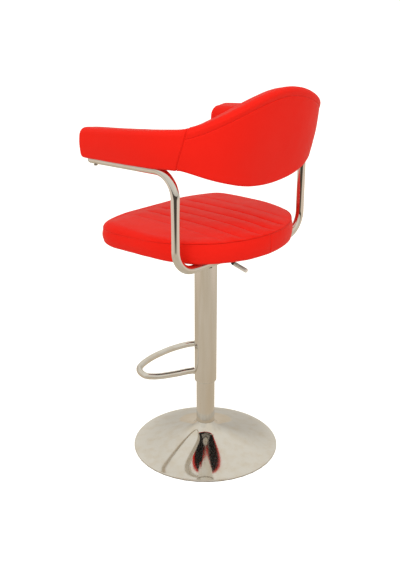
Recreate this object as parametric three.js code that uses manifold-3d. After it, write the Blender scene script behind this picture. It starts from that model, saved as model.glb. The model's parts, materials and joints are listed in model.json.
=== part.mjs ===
// Adjustable swivel stool with a bucket back and arms.
// Millimetres, +Z up, floor at z = 0, column axis at x = y = 0, front of the stool towards -Y.

import * as THREE from 'three';
import { mergeVertices } from 'three/addons/utils/BufferGeometryUtils.js';
import Module from 'manifold-3d';

const wasm = await Module();
wasm.setup();

// ---------------------------------------------------------------- driving dimensions

const GAP = 0.3; // clearance between touching pieces

const BASE_R = 200;
const BASE_RIM_Z = 2;
const BASE_LIP = 3; // upright height of the rim's edge
const BASE_SHEET = 2;
const CONE_RISE = 55; // the dish climbs as a slightly hollow cone...
const CONE_POWER = 1.45;
const NECK_RISE = 16; // ...and turns up steeply into its neck
const NECK_REACH = 8;

const COLUMN_R = 25;
const COLUMN_WALL = 2;
const COLUMN_TOP = 440;
const COVER_R = 30;
const COVER_WALL = 2;
const COVER_BOTTOM = 198;

const FOOTREST_R = 8.7;

const CYLINDER_R = 14;
const CYLINDER_BOTTOM = 270;
const CYLINDER_TOP = 586;
const ROD_R = 5;
const PISTON_Z = 395;
const PIN_R = 3;
const SOCKET_BOTTOM = 559; // clears the guide bush at the lowest seat height

const TRAY_BOTTOM = 578; // underside of the lift tray
const TRAY_SHEET = 3;
const TRAY_BOX = [104, 80];
const TRAY_FLANGE = [200, 160];
const BOARD_Z = 609; // underside of the plywood seat board
const BOARD_T = 12;

const SEAT_HALF_W = 226;
const SEAT_FRONT = 200;
const SEAT_REAR = 210;
const SEAT_CROWN_Z = 672.5;

const FRAME_R = 10.5;
const FRAME_WALL = 1.5;
const FRAME_X = 237;
const POST_Y = 122;
const CROSSBAR_Z = 596.5;
const ARM_RUN_Z = 836; // tube centre above the post
const ARM_RUN_END = [-160, 828]; // y and z of the tube's front end
const BEND_R = 58;

const SHELL_X = 266; // outer face of the arms
const SHELL_ARM_END = -169;
const SHELL_BEND_Y = -80;
const SHELL_DEPTH = 303;
const SHELL_ROUND = 3.2;
const SHELL_SKIN = 16; // thickness of the outer padding
const SHELL_MID_Z = 860;
const SHELL_FLARE = 0.195; // outward lean of the back per unit of height
const SHELL_CORE_INSET = 12;
const CORE_ROOM = 1; // clearance between the core and the padding's pocket

const LEVER_PIVOT = [25, 30, 591];
const LEVER_DROOP = 0.24; // fall per unit of reach
const LEVER_R = 3;

// ---------------------------------------------------------------- solids

function closed(geometry) {
  const bare = geometry.clone();
  bare.deleteAttribute('normal');
  bare.deleteAttribute('uv');
  const merged = mergeVertices(bare, 1e-4);
  const index = [...merged.index.array];
  const kept = [];
  for (let i = 0; i < index.length; i += 3) {
    const [a, b, c] = index.slice(i, i + 3);
    if (a !== b && b !== c && a !== c) kept.push(a, b, c);
  }
  merged.setIndex(kept);
  if (volume(merged) < 0) merged.setIndex(kept.reverse());
  merged.computeVertexNormals();
  return merged;
}

function volume(geometry) {
  const position = geometry.attributes.position;
  const index = geometry.index.array;
  const corner = (i) => new THREE.Vector3().fromBufferAttribute(position, index[i]);
  let total = 0;
  for (let i = 0; i < index.length; i += 3) {
    total += corner(i).dot(corner(i + 1).cross(corner(i + 2))) / 6;
  }
  return total;
}

function toManifold(geometry) {
  const vertProperties = Float32Array.from(geometry.attributes.position.array);
  const triVerts = Uint32Array.from(geometry.index.array);
  return new wasm.Manifold(new wasm.Mesh({ numProp: 3, vertProperties, triVerts }));
}

function fromManifold(solid) {
  const mesh = solid.getMesh();
  const geometry = new THREE.BufferGeometry();
  geometry.setAttribute('position', new THREE.BufferAttribute(mesh.vertProperties, 3));
  geometry.setIndex([...mesh.triVerts]);
  geometry.computeVertexNormals();
  return geometry;
}

function cut(geometry, ...tools) {
  return fromManifold(tools.reduce((left, tool) => left.subtract(toManifold(tool)), toManifold(geometry)));
}

function join(...pieces) {
  return fromManifold(pieces.map(toManifold).reduce((sum, piece) => sum.add(piece)));
}

// profile: [radius, height] pairs that start and end on the axis or close on themselves
function lathe(profile, sides = 32) {
  const points = profile.map(([r, z]) => new THREE.Vector2(r, z));
  return closed(new THREE.LatheGeometry(points, sides).rotateX(Math.PI / 2));
}

function ring(innerR, outerR, low, high, sides) {
  return lathe([[innerR, low], [outerR, low], [outerR, high], [innerR, high], [innerR, low]], sides);
}

function rod(radius, low, high, sides = 16) {
  return lathe([[0, low], [radius, low], [radius, high], [0, high]], sides);
}

function box(x, y, z, centre) {
  return closed(new THREE.BoxGeometry(x, y, z).translate(...centre));
}

// rings: lists of points with the same count; both ends are closed by a fan
function loft(rings) {
  const count = rings[0].length;
  const centre = (points) => points.reduce((sum, p) => sum.add(p), new THREE.Vector3()).divideScalar(count);
  const vertices = [...rings.flat(), centre(rings[0]), centre(rings.at(-1))];
  const index = [];
  for (let i = 0; i + 1 < rings.length; i++) {
    for (let j = 0; j < count; j++) {
      const [a, b] = [i * count + j, i * count + ((j + 1) % count)];
      index.push(a, b, b + count, a, b + count, a + count);
    }
  }
  const last = (rings.length - 1) * count;
  for (let j = 0; j < count; j++) {
    const next = (j + 1) % count;
    index.push(vertices.length - 2, next, j);
    index.push(vertices.length - 1, last + j, last + next);
  }
  const geometry = new THREE.BufferGeometry().setFromPoints(vertices);
  geometry.setIndex(index);
  return closed(geometry);
}

// a curve through given stations, one extrusion step between each pair
class Route extends THREE.Curve {
  constructor(stations) {
    super();
    this.stations = stations;
  }

  getPoint(t) {
    const place = t * (this.stations.length - 1);
    const i = Math.min(Math.floor(place), this.stations.length - 2);
    return this.stations[i].clone().lerp(this.stations[i + 1], place - i);
  }

  getPointAt(u) {
    return this.getPoint(u);
  }

  getTangentAt(u) {
    const step = 0.5 / (this.stations.length - 1);
    const [before, after] = [Math.max(0, u - step), Math.min(1, u + step)];
    return this.getPoint(after).sub(this.getPoint(before)).normalize();
  }
}

// stations along a polyline whose corners are rounded to a radius
function rounded(corners, radius, steps = 6) {
  const stations = [corners[0]];
  for (let i = 1; i + 1 < corners.length; i++) {
    const back = corners[i - 1].clone().sub(corners[i]).normalize();
    const ahead = corners[i + 1].clone().sub(corners[i]).normalize();
    const half = back.angleTo(ahead) / 2;
    const hub = back.clone().add(ahead).normalize().multiplyScalar(radius / Math.sin(half)).add(corners[i]);
    const from = back.multiplyScalar(radius / Math.tan(half)).add(corners[i]).sub(hub);
    const to = ahead.multiplyScalar(radius / Math.tan(half)).add(corners[i]).sub(hub);
    const axis = from.clone().cross(to).normalize();
    const sweep = from.angleTo(to);
    for (let k = 0; k <= steps; k++) {
      stations.push(from.clone().applyAxisAngle(axis, (sweep * k) / steps).add(hub));
    }
  }
  stations.push(corners.at(-1));
  return stations;
}

function circle(radius, sides) {
  const turn = (k) => (2 * Math.PI * k) / sides;
  return Array.from({ length: sides }, (_, k) => {
    return new THREE.Vector2(radius * Math.cos(turn(k)), radius * Math.sin(turn(k)));
  });
}

function tube(stations, outerR, innerR = 0, sides = 12) {
  const section = new THREE.Shape(circle(outerR, sides));
  if (innerR > 0) section.holes.push(new THREE.Path(circle(innerR, sides)));
  const extrudePath = new Route(stations);
  return closed(new THREE.ExtrudeGeometry(section, { steps: stations.length - 1, extrudePath }));
}

function placed(geometry, x, y, z) {
  return geometry.clone().translate(x, y, z);
}

const vec = (x, y, z) => new THREE.Vector3(x, y, z);

// ---------------------------------------------------------------- seat outline

// points of the seat's outline, drawn in by inset; the front is squarer than the rear
function seatOutline(inset, z, count = 48) {
  return Array.from({ length: count }, (_, k) => {
    const turn = (2 * Math.PI * k) / count;
    const [c, s] = [Math.cos(turn), Math.sin(turn)];
    const rear = s >= 0;
    const power = rear ? 2.1 : 5;
    const halfDepth = (rear ? SEAT_REAR : SEAT_FRONT) - inset;
    const shape = Math.abs(c / (SEAT_HALF_W - inset)) ** power + Math.abs(s / halfDepth) ** power;
    const r = shape ** (-1 / power);
    return vec(r * c, r * s, z);
  });
}

function seatSlab(inset, low, high) {
  return loft([seatOutline(inset, low), seatOutline(inset, high)]);
}

// ---------------------------------------------------------------- back shell surface

const bell = (k, reach, power) => Math.cos((Math.PI / 2) * Math.min(k / reach, 1)) ** power;
const shellTop = (k) => 906 + 28 * Math.min((1 - k) / 0.55, 1) + 78 * bell(k, 0.455, 1.35);
const shellBottom = (k) => 834 + 8 * Math.min((1 - k) / 0.55, 1) - 58 * bell(k, 0.47, 1.1);
const shellThickness = (k) => 62 - 18 * bell(k, 0.6, 1);

// the outer face seen from above: straight arms joined by a superellipse, with its outward normals
function shellPlan(count = 240) {
  const path = [vec(SHELL_X, SHELL_ARM_END, 0)];
  for (let i = 0; i <= count; i++) {
    const turn = (Math.PI * i) / count;
    const [c, s] = [Math.cos(turn), Math.sin(turn)];
    const shape = Math.abs(c / SHELL_X) ** SHELL_ROUND + Math.abs(s / SHELL_DEPTH) ** SHELL_ROUND;
    const r = shape ** (-1 / SHELL_ROUND);
    path.push(vec(r * c, SHELL_BEND_Y + r * s, 0));
  }
  path.push(vec(-SHELL_X, SHELL_ARM_END, 0));
  return path;
}

const plan = shellPlan();
const planLength = [0];
for (let i = 1; i < plan.length; i++) planLength.push(planLength[i - 1] + plan[i].distanceTo(plan[i - 1]));

function alongPlan(distance) {
  let i = planLength.findIndex((length) => length >= distance);
  i = Math.max(i, 1);
  const share = (distance - planLength[i - 1]) / (planLength[i] - planLength[i - 1]);
  return plan[i - 1].clone().lerp(plan[i], share);
}

// a point of the shell: s from -1 to 1 along it, depth inward from its outer face, height z
function shellPoint(s, depth, z) {
  const total = planLength.at(-1);
  const distance = ((s + 1) / 2) * total;
  const reach = 6;
  const before = alongPlan(Math.max(distance - reach, 0));
  const after = alongPlan(Math.min(distance + reach, total));
  const along = after.sub(before).normalize();
  const outward = vec(along.y, -along.x, 0);
  const lean = SHELL_FLARE * bell(Math.abs(s), 1, 1.5) * (z - SHELL_MID_Z);
  return alongPlan(distance).addScaledVector(outward, lean - depth).setZ(z);
}

// a band of the shell between two depths; corner radii round its top and bottom edges,
// and the band gets lower over its last few millimetres, which rounds the arms' front ends
function shellBand(depthAt, inset, corner, stations = 28) {
  const end = 1 - (2 * inset) / planLength.at(-1);
  const ends = [[0, 10], [4, 3]].map(([back, drop]) => [end - (2 * back) / planLength.at(-1), drop]);
  const body = Array.from({ length: stations + 1 }, (_, i) => [0.97 * (1 - (2 * i) / stations), 0]);
  const mirrored = ends.map(([s, drop]) => [-s, drop]).reverse();
  const rings = [...ends, ...body, ...mirrored].map(([s, drop]) => {
    const k = Math.abs(s);
    const [near, far] = depthAt(k);
    const [low, high] = [shellBottom(k) + inset + drop, shellTop(k) - inset - drop];
    const [ro, ri] = corner;
    return [
      shellPoint(s, near, low + ro), shellPoint(s, near, (low + high) / 2), shellPoint(s, near, high - ro),
      shellPoint(s, near + 0.3 * ro, high - 0.3 * ro), shellPoint(s, near + ro, high),
      shellPoint(s, far - ri, high), shellPoint(s, far - 0.3 * ri, high - 0.3 * ri),
      shellPoint(s, far, high - ri), shellPoint(s, far, (low + high) / 2), shellPoint(s, far, low + ri),
      shellPoint(s, far - 0.3 * ri, low + 0.3 * ri), shellPoint(s, far - ri, low),
      shellPoint(s, near + ro, low), shellPoint(s, near + 0.3 * ro, low + 0.3 * ro),
    ];
  });
  return loft(rings);
}

// ---------------------------------------------------------------- materials

const finish = (color, roughness, metalness) => ({ color, roughness, metalness });
const CHROME = finish('#d8d3c8', 0.08, 1);
const STEEL = finish('#8d8f90', 0.4, 0.9);
const ZINC = finish('#b9b8b0', 0.35, 0.9);
const RUBBER = finish('#161616', 0.8, 0);
const PLASTIC = finish('#202022', 0.5, 0);
const RED_LEATHER = finish('#ee2a20', 0.45, 0);
const PLYWOOD = finish('#c49a66', 0.7, 0);
const BLACK_CLOTH = finish('#1d1d1f', 0.95, 0);

function piece(group, name, look, geometry) {
  const mesh = new THREE.Mesh(geometry, new THREE.MeshStandardMaterial(look));
  mesh.name = name;
  group.add(mesh);
}

// ---------------------------------------------------------------- base

function flareHeight(r) {
  const share = Math.max(BASE_R - r, 0) / (BASE_R - COLUMN_R);
  const neck = NECK_RISE * Math.exp((COLUMN_R - r) / NECK_REACH);
  return BASE_RIM_Z + BASE_LIP + CONE_RISE * share ** CONE_POWER + neck;
}

function baseDish() {
  const hole = COLUMN_R + GAP;
  const steps = 12;
  const outer = [];
  const inner = [];
  for (let i = 0; i <= steps; i++) {
    const r = BASE_R - 3 - (BASE_R - 3 - hole - BASE_SHEET) * (i / steps) ** 0.75;
    outer.push([r, flareHeight(r)]);
    inner.unshift([r - BASE_SHEET, flareHeight(r) - BASE_SHEET]);
  }
  const rim = [[BASE_R - BASE_SHEET, BASE_RIM_Z], [BASE_R, BASE_RIM_Z], [BASE_R, BASE_RIM_Z + 2]];
  const neck = [[hole, flareHeight(hole + BASE_SHEET)]];
  return lathe([...rim, ...outer, ...neck, ...inner, rim[0]], 40);
}

const PLATE = { r: 160, low: 4.5, high: 8.5 };
const PAD_T = 1.2;
const FLANGE = { r: 62, low: PLATE.high + GAP, high: PLATE.high + GAP + 4 };
const BASE_BOLT = { r: 4, pcr: 46, head: 7 };

function boltPlaces() {
  return [0, 1, 2, 3].map((k) => {
    const turn = Math.PI / 4 + (k * Math.PI) / 2;
    return [BASE_BOLT.pcr * Math.cos(turn), BASE_BOLT.pcr * Math.sin(turn)];
  });
}

function buildBase(group) {
  const holes = boltPlaces().map(([x, y]) => placed(rod(BASE_BOLT.r + GAP, 0, 20, 12), x, y, 0));
  const plate = ring(ROD_R + 1.3, PLATE.r, PLATE.low, PLATE.high, 40);
  const flange = ring(COLUMN_R + GAP, FLANGE.r, FLANGE.low, FLANGE.high, 32);
  piece(group, 'base_dish', CHROME, baseDish());
  const padTop = BASE_RIM_Z - GAP;
  const pad = [[0, 0], [BASE_R - 0.5, 0], [BASE_R - 0.5, padTop], [BASE_R - 14, padTop], [BASE_R - 14, PAD_T]];
  piece(group, 'floor_pad', RUBBER, lathe([...pad, [0, PAD_T]], 40));
  piece(group, 'base_plate', STEEL, cut(plate, ...holes));
  piece(group, 'column_flange', STEEL, cut(flange, ...holes));
  piece(group, 'column_tube', CHROME, ring(COLUMN_R - COLUMN_WALL, COLUMN_R, FLANGE.low, COLUMN_TOP, 32));
  const bushR = COLUMN_R - COLUMN_WALL - GAP;
  const bore = CYLINDER_R + GAP;
  const lip = COLUMN_TOP + GAP;
  const bush = [[bore, 400], [bushR, 400], [bushR, lip], [COLUMN_R, lip], [COLUMN_R, lip + 4], [bore, lip + 4]];
  piece(group, 'guide_bush', PLASTIC, lathe([...bush, bush[0]], 24));
  boltPlaces().forEach(([x, y], k) => {
    const head = FLANGE.high + GAP;
    const bolt = [[0, 2.5], [BASE_BOLT.r, 2.5], [BASE_BOLT.r, head], [BASE_BOLT.head, head]];
    const profile = [...bolt, [BASE_BOLT.head, head + 5], [0, head + 5]];
    piece(group, `base_bolt_${k + 1}`, ZINC, placed(lathe(profile, 12), x, y, 0));
  });
  piece(group, 'lower_race', STEEL, ring(ROD_R + 1, 18, PLATE.high + GAP, 12.5, 20));
}

// ---------------------------------------------------------------- swivelling gas spring rod

function buildSwivel(group) {
  const cage = [];
  const steps = 8;
  for (let k = 0; k <= steps; k++) {
    const turn = (2 * Math.PI * k) / steps;
    cage.push([12 + 4 * Math.cos(turn), 15.5 + 2.6 * Math.sin(turn)]);
  }
  piece(group, 'ball_cage', STEEL, lathe(cage, 20));
  piece(group, 'upper_race', STEEL, ring(ROD_R + GAP, 18, 18.5, 21.2, 20));
  const shaft = [[0, 2], [ROD_R, 2], [ROD_R, 21.5], [9, 21.5], [9, 26], [ROD_R, 26]];
  const piston = [[ROD_R, PISTON_Z], [11.4, PISTON_Z], [11.4, PISTON_Z + 15], [0, PISTON_Z + 15]];
  piece(group, 'piston_rod', STEEL, lathe([...shaft, ...piston], 20));
  piece(group, 'retaining_clip', ZINC, ring(ROD_R + GAP, 9, 2.3, PLATE.low - GAP, 16));
}

// ---------------------------------------------------------------- lift column and footrest

function buildLift(group) {
  const innerR = COVER_R - COVER_WALL;
  const top = TRAY_BOTTOM - GAP;
  const shoulder = [[innerR, COVER_BOTTOM], [COVER_R - 1, COVER_BOTTOM], [COVER_R, COVER_BOTTOM + 4]];
  piece(group, 'cover_tube', CHROME, lathe([...shoulder, [COVER_R, top], [innerR, top], shoulder[0]], 36));
  const guide = ring(COLUMN_R + GAP, innerR - GAP, COVER_BOTTOM + 1, COVER_BOTTOM + 26, 32);
  piece(group, 'cover_guide_ring', PLASTIC, guide);
  const bore = CYLINDER_R - 2;
  const wall = [[bore, CYLINDER_BOTTOM], [CYLINDER_R, CYLINDER_BOTTOM], [CYLINDER_R, CYLINDER_TOP]];
  const lid = [[PIN_R + GAP, CYLINDER_TOP], [PIN_R + GAP, CYLINDER_TOP - 4], [bore, CYLINDER_TOP - 4]];
  piece(group, 'gas_cylinder', STEEL, lathe([...wall, ...lid, wall[0]], 24));
  const seal = ring(ROD_R + GAP, bore - GAP, CYLINDER_BOTTOM + GAP, CYLINDER_BOTTOM + 14, 20);
  piece(group, 'rod_seal', RUBBER, seal);
  const socket = ring(CYLINDER_R + GAP, 19, SOCKET_BOTTOM, TRAY_BOTTOM - GAP, 24);
  piece(group, 'taper_socket', STEEL, socket);
  piece(group, 'footrest_loop', CHROME, footrest());
}

function footrest() {
  const z = 225;
  const side = [
    [9, -20], [40, -36], [63, -45], [84, -55], [104, -66], [121, -80], [132, -99], [127, -124],
    [112, -144], [90, -156], [62, -164], [31, -169],
  ];
  const right = side.map(([x, y]) => vec(x, y, z));
  const left = side.map(([x, y]) => vec(-x, y, z)).reverse();
  const curve = new THREE.CatmullRomCurve3([...right, vec(0, -170, z), ...left]);
  const bar = tube(curve.getSpacedPoints(36), FOOTREST_R, 0, 8);
  return cut(bar, rod(COVER_R + GAP, z - 20, z + 20, 36));
}

// ---------------------------------------------------------------- seat

function tray() {
  const [boxX, boxY] = TRAY_BOX;
  const [flangeX, flangeY] = TRAY_FLANGE;
  const top = BOARD_Z - GAP;
  const height = top - TRAY_BOTTOM;
  const middle = (TRAY_BOTTOM + top) / 2;
  const flange = box(flangeX, flangeY, TRAY_SHEET, [0, 0, top - TRAY_SHEET / 2]);
  const outside = box(boxX, boxY, height, [0, 0, middle]);
  const inside = box(boxX - 2 * TRAY_SHEET, boxY - 2 * TRAY_SHEET, height, [0, 0, middle + TRAY_SHEET]);
  const slot = box(16, 20, 16, [LEVER_PIVOT[0], boxY / 2, LEVER_PIVOT[2] - 2]);
  const bore = rod(CYLINDER_R + GAP, TRAY_BOTTOM - 5, TRAY_BOTTOM + 10, 24);
  const screwHoles = trayBolts().map(([x, y]) => placed(rod(3 + GAP, BOARD_Z - 12, BOARD_Z + 8, 12), x, y, 0));
  return cut(join(flange, outside), inside, slot, bore, ...screwHoles);
}

function trayBolts() {
  const [x, y] = [TRAY_FLANGE[0] / 2 - 16, TRAY_FLANGE[1] / 2 - 16];
  return [[x, y], [-x, y], [-x, -y], [x, -y]];
}

const CROSSBAR_BOLT_X = 120;

function crossbarBolt(side) {
  const head = CROSSBAR_Z - FRAME_R - GAP;
  const profile = [[0, head - 2], [4, head - 2], [6, head], [3, head], [3, BOARD_Z + 9], [0, BOARD_Z + 9]];
  return placed(lathe(profile, 12), side * CROSSBAR_BOLT_X, POST_Y, 0);
}

function trayBolt() {
  const head = BOARD_Z - TRAY_SHEET - 2 * GAP;
  return lathe([[0, head - 4], [6, head - 4], [6, head], [3, head], [3, BOARD_Z + 9], [0, BOARD_Z + 9]], 12);
}

function seatBoard() {
  const holes = trayBolts().concat([[CROSSBAR_BOLT_X, POST_Y], [-CROSSBAR_BOLT_X, POST_Y]]);
  const tools = holes.map(([x, y]) => placed(rod(3 + GAP, BOARD_Z - 5, BOARD_Z + 9.5, 12), x, y, 0));
  return cut(seatSlab(22, BOARD_Z, BOARD_Z + BOARD_T), ...tools);
}

function seatCushion() {
  const profile = [
    [14, 607.5], [4, 610], [0, 618], [0, 656], [4, 662], [14, 666], [60, 670], [130, SEAT_CROWN_Z],
  ];
  const body = loft(profile.map(([inset, z]) => seatOutline(inset, z)));
  return cut(body, seatSlab(22 - GAP, BOARD_Z - 12, BOARD_Z + BOARD_T + GAP));
}

function dustCover() {
  const sheet = seatSlab(23, BOARD_Z - 1.5, BOARD_Z - GAP);
  const [x, y] = TRAY_FLANGE;
  const crossbarHoles = [-1, 1].map((side) => {
    return placed(rod(3 + GAP, BOARD_Z - 12, BOARD_Z + 8, 12), side * CROSSBAR_BOLT_X, POST_Y, 0);
  });
  return cut(sheet, box(x + 4, y + 4, 20, [0, 0, BOARD_Z]), ...crossbarHoles);
}

// ---------------------------------------------------------------- arm frame

const ARM_SCREW_Y = [-145, -30];
const armRunZ = (y) => THREE.MathUtils.mapLinear(y, ARM_RUN_END[0], POST_Y, ARM_RUN_END[1], ARM_RUN_Z);

// centre line of the arm frame; its two ends can be lengthened to cut room for the end caps
function frameRoute(extra = 0) {
  const end = [ARM_RUN_END[0] - extra, ARM_RUN_END[1]];
  const side = [vec(FRAME_X, ...end), vec(FRAME_X, POST_Y, ARM_RUN_Z), vec(FRAME_X, POST_Y, CROSSBAR_Z)];
  const mirrored = side.map((p) => vec(-p.x, p.y, p.z)).reverse();
  return rounded([...side, ...mirrored], BEND_R);
}

function armFrame() {
  const bar = tube(frameRoute(), FRAME_R, FRAME_R - FRAME_WALL);
  const holes = [];
  for (const x of [-1, 1]) {
    holes.push(placed(rod(3 + GAP, CROSSBAR_Z - 20, CROSSBAR_Z + 20, 12), x * CROSSBAR_BOLT_X, POST_Y, 0));
    for (const y of ARM_SCREW_Y) holes.push(placed(rod(2.5 + GAP, 800, 860, 12), x * FRAME_X, y, 0));
    holes.push(placed(rod(4.6, 810, armRunZ(ARM_SCREW_Y[1]), 12), x * FRAME_X, ARM_SCREW_Y[1], 0));
  }
  return cut(bar, ...holes);
}

function frameCap(side) {
  const plugR = FRAME_R - FRAME_WALL - GAP;
  const profile = [[0, -5], [7, -4], [FRAME_R, -1.5], [FRAME_R, -GAP], [plugR, -GAP], [plugR, 8], [0, 8]];
  const cap = lathe(profile, 16).rotateX(-Math.PI / 2);
  const slope = Math.atan2(ARM_RUN_Z - ARM_RUN_END[1], POST_Y - ARM_RUN_END[0]);
  return cap.rotateX(slope).translate(side * FRAME_X, ...ARM_RUN_END);
}

// the front screws clamp the whole tube; the rear ones sit inside it, under its upper wall
function armScrew(side, y) {
  const inside = y === ARM_SCREW_Y[1];
  const [head, headR] = inside ? [armRunZ(y) + 5, 4] : [armRunZ(y) - FRAME_R - 0.8, 5];
  const tip = armRunZ(y) + 32;
  const profile = [[0, head - 3], [headR, head - 3], [headR, head], [2.5, head], [2.5, tip], [0, tip]];
  return placed(lathe(profile, 12), side * FRAME_X, y, 0);
}

// ---------------------------------------------------------------- back and arms

function screwHoles() {
  const tool = rod(2.5 + GAP, 800, 870, 12);
  return [-1, 1].flatMap((side) => ARM_SCREW_Y.map((y) => placed(tool, side * FRAME_X, y, 0)));
}

function buildBack(group) {
  const skin = () => [0, SHELL_SKIN];
  const lining = (k) => [SHELL_SKIN + GAP, shellThickness(k)];
  const core = (k) => [SHELL_SKIN + 2 * GAP, shellThickness(k) - SHELL_SKIN];
  const pocket = (k) => [SHELL_SKIN - 5, shellThickness(k) - SHELL_SKIN + CORE_ROOM];
  const groove = tube(frameRoute(7), FRAME_R + GAP);
  piece(group, 'back_outer_cover', RED_LEATHER, cut(shellBand(skin, 0, [11, 1]), groove));
  const pocketTool = shellBand(pocket, SHELL_CORE_INSET - CORE_ROOM, [0.5, 0.5]);
  const liner = cut(shellBand(lining, 0, [1, 13]), pocketTool, groove, ...screwHoles());
  piece(group, 'back_inner_pad', RED_LEATHER, liner);
  const board = shellBand(core, SHELL_CORE_INSET, [0.6, 0.6]);
  piece(group, 'back_shell_core', PLYWOOD, cut(board, groove, ...screwHoles()));
}

function buildSeat(group) {
  piece(group, 'lift_tray', STEEL, tray());
  trayBolts().forEach(([x, y], k) => piece(group, `tray_bolt_${k + 1}`, ZINC, placed(trayBolt(), x, y, 0)));
  piece(group, 'seat_board', PLYWOOD, seatBoard());
  piece(group, 'seat_cushion', RED_LEATHER, seatCushion());
  piece(group, 'dust_cover', BLACK_CLOTH, dustCover());
  piece(group, 'arm_frame', CHROME, armFrame());
  for (const [label, side] of [['left', 1], ['right', -1]]) {
    piece(group, `frame_cap_${label}`, PLASTIC, frameCap(side));
    piece(group, `crossbar_bolt_${label}`, ZINC, crossbarBolt(side));
    piece(group, `arm_screw_front_${label}`, ZINC, armScrew(side, ARM_SCREW_Y[0]));
    piece(group, `arm_screw_rear_${label}`, ZINC, armScrew(side, ARM_SCREW_Y[1]));
  }
}

// ---------------------------------------------------------------- release lever

function leverBracket() {
  const [x, y, z] = LEVER_PIVOT;
  const top = BOARD_Z - TRAY_SHEET - 2 * GAP;
  const foot = TRAY_BOTTOM + TRAY_SHEET + GAP;
  const floor = box(36, 12, 2, [x, y, foot + 1]);
  const ears = [-1, 1].map((side) => box(3, 12, top - foot - 8, [x + side * 14, y, (top + foot) / 2 - 4]));
  const bore = closed(new THREE.CylinderGeometry(3 + GAP, 3 + GAP, 60, 12).rotateZ(Math.PI / 2));
  return cut(join(floor, ...ears), placed(bore, x, y, z));
}

function leverHub() {
  const [x, y, z] = LEVER_PIVOT;
  const drum = closed(new THREE.CylinderGeometry(6, 6, 20, 16).rotateZ(Math.PI / 2));
  const trunnion = closed(new THREE.CylinderGeometry(3, 3, 34, 12).rotateZ(Math.PI / 2));
  return cut(placed(join(drum, trunnion), x, y, z), leverTool());
}

function leverRoute() {
  const [x, y, z] = LEVER_PIVOT;
  const reach = (distance) => vec(x, y + distance, z - LEVER_DROOP * distance);
  return rounded([vec(0, -10, z + 4), vec(0, 6, z + 4), reach(-14), reach(96)], 8, 4);
}

const leverTool = () => tube(leverRoute(), LEVER_R + GAP, 0, 12);

function gripPart(from, to, innerR, outerR) {
  const [x, y, z] = LEVER_PIVOT;
  const tilt = Math.atan(LEVER_DROOP);
  const part = innerR > 0 ? ring(innerR, outerR, from, to, 16) : rod(outerR, from, to, 16);
  return part.rotateX(-Math.PI / 2 - tilt).translate(x, y, z);
}

function buildLever(group) {
  const scale = Math.hypot(1, LEVER_DROOP);
  piece(group, 'lever_rod', CHROME, tube(leverRoute(), LEVER_R, 0, 12));
  piece(group, 'lever_hub', STEEL, leverHub());
  piece(group, 'lever_collar', PLASTIC, gripPart(82 * scale, 88 * scale, LEVER_R + GAP, 5.2));
  const grip = lathe(
    [[0, 98], [LEVER_R + GAP, 98], [LEVER_R + GAP, 90.5], [5.6, 90.5], [5.6, 127], [4.4, 129], [0, 129]],
    16,
  );
  grip.scale(1, 1, scale);
  const [x, y, z] = LEVER_PIVOT;
  piece(group, 'lever_grip', CHROME, grip.rotateX(-Math.PI / 2 - Math.atan(LEVER_DROOP)).translate(x, y, z));
}

// ---------------------------------------------------------------- assembly

const stool = new THREE.Group();
const base = new THREE.Group();
const swivel = new THREE.Group();
const seat = new THREE.Group();
const lever = new THREE.Group();
stool.add(base);
base.add(swivel);
swivel.add(seat);
seat.add(lever);

buildBase(base);
buildSwivel(swivel);
buildLift(seat);
buildSeat(seat);
buildBack(seat);
piece(seat, 'lever_bracket', STEEL, leverBracket());
buildLever(lever);
const pinTop = LEVER_PIVOT[2] + 4 - LEVER_R - GAP;
piece(lever, 'release_pin', ZINC, rod(PIN_R, CYLINDER_TOP - 8, pinTop, 12));

export default stool;
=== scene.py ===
"""Looks of the adjustable swivel stool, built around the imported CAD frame.

Metres, +Z up, front of the stool towards -Y.
"""

import json
import math

import bpy
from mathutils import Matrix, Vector, noise

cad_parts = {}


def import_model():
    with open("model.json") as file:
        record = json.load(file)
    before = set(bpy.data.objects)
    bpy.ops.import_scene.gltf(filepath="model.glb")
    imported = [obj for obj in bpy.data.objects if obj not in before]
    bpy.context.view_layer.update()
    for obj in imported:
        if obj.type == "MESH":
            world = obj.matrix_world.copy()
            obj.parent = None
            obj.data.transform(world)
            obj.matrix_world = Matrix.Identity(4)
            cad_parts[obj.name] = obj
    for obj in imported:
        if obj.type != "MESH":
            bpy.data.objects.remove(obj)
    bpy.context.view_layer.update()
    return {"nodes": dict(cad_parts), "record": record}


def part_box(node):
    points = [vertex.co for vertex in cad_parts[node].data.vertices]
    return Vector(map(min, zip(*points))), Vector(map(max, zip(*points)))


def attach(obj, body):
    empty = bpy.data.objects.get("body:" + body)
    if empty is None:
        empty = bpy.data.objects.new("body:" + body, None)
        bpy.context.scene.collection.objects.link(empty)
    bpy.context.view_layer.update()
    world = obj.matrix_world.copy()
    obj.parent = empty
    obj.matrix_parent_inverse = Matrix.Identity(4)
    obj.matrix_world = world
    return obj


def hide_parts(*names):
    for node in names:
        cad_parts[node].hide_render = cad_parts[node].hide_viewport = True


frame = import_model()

MM = 0.001

# ------------------------------------------------------------------ driving dimensions (metres)

BASE_R = 0.200
BASE_RIM_Z = 0.002
BASE_LIP = 0.003
BASE_SHEET = 0.002
CONE_RISE = 0.055
CONE_POWER = 1.45
NECK_RISE = 0.016
NECK_REACH = 0.008
COLUMN_R = 0.025
COVER_R = 0.030

SEAT_HALF_W = 0.226
SEAT_FRONT = 0.200
SEAT_REAR = 0.210
SEAT_LOW = 0.6070
SEAT_SEAM_Z = 0.6595
SEAT_CROWN_Z = 0.6725
SEAT_EDGE_FALL = 0.0060
CHANNEL_PITCH = 0.050
CHANNEL_DEPTH = 0.0034
CHANNEL_FADE = 0.024
CHANNEL_START = 0.045
PANEL_HALF_W = 0.150

FOOTREST_Z = 0.225
FOOTREST_R = 0.0087

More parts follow.
